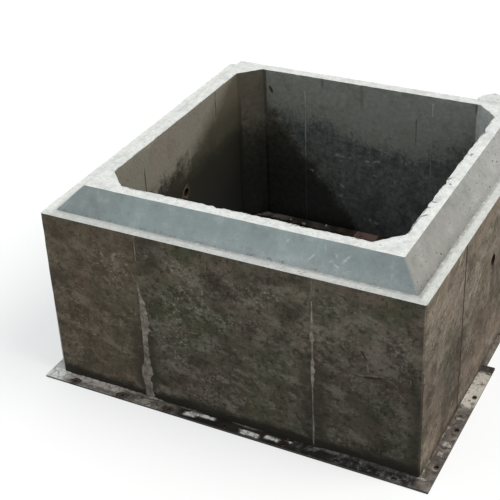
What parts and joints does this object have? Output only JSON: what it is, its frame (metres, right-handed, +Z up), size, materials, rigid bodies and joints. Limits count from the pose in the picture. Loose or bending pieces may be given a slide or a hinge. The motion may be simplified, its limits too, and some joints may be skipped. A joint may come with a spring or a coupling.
{
  "type": "reinforced concrete box culvert",
  "caption": "Precast reinforced concrete box culvert unit standing spigot end up on its steel casting pallet, with haunched corners, a tapered spigot and lifting holes.",
  "frame": {"origin": "centre of the underside of the casting pallet, on the ground", "axes": "+Z up along the barrel towards the spigot end, +X right and -Y towards the front as pictured; the lifting holes run along X"},
  "size_m": [2.08, 2.08, 1.067],
  "materials": {
    "concrete": "matte",
    "rusty_steel": "matte",
    "pallet_steel": "matte"
  },
  "bodies": {
    "root": {"concrete_box": "concrete", "lifting_sleeve_left": "rusty_steel", "lifting_sleeve_right": "rusty_steel", "pallet_flange_front": "pallet_steel", "pallet_flange_back": "pallet_steel", "pallet_flange_right_front": "pallet_steel", "pallet_flange_right_back": "pallet_steel", "pallet_flange_left_front": "pallet_steel", "pallet_flange_left_back": "pallet_steel", "socket_former_front": "rusty_steel", "socket_former_right": "rusty_steel", "socket_former_back": "rusty_steel", "socket_former_left": "rusty_steel", "former_ribs_front": "rusty_steel", "former_ribs_right": "rusty_steel", "former_ribs_back": "rusty_steel", "former_ribs_left": "rusty_steel"}
  },
  "joints": []
}
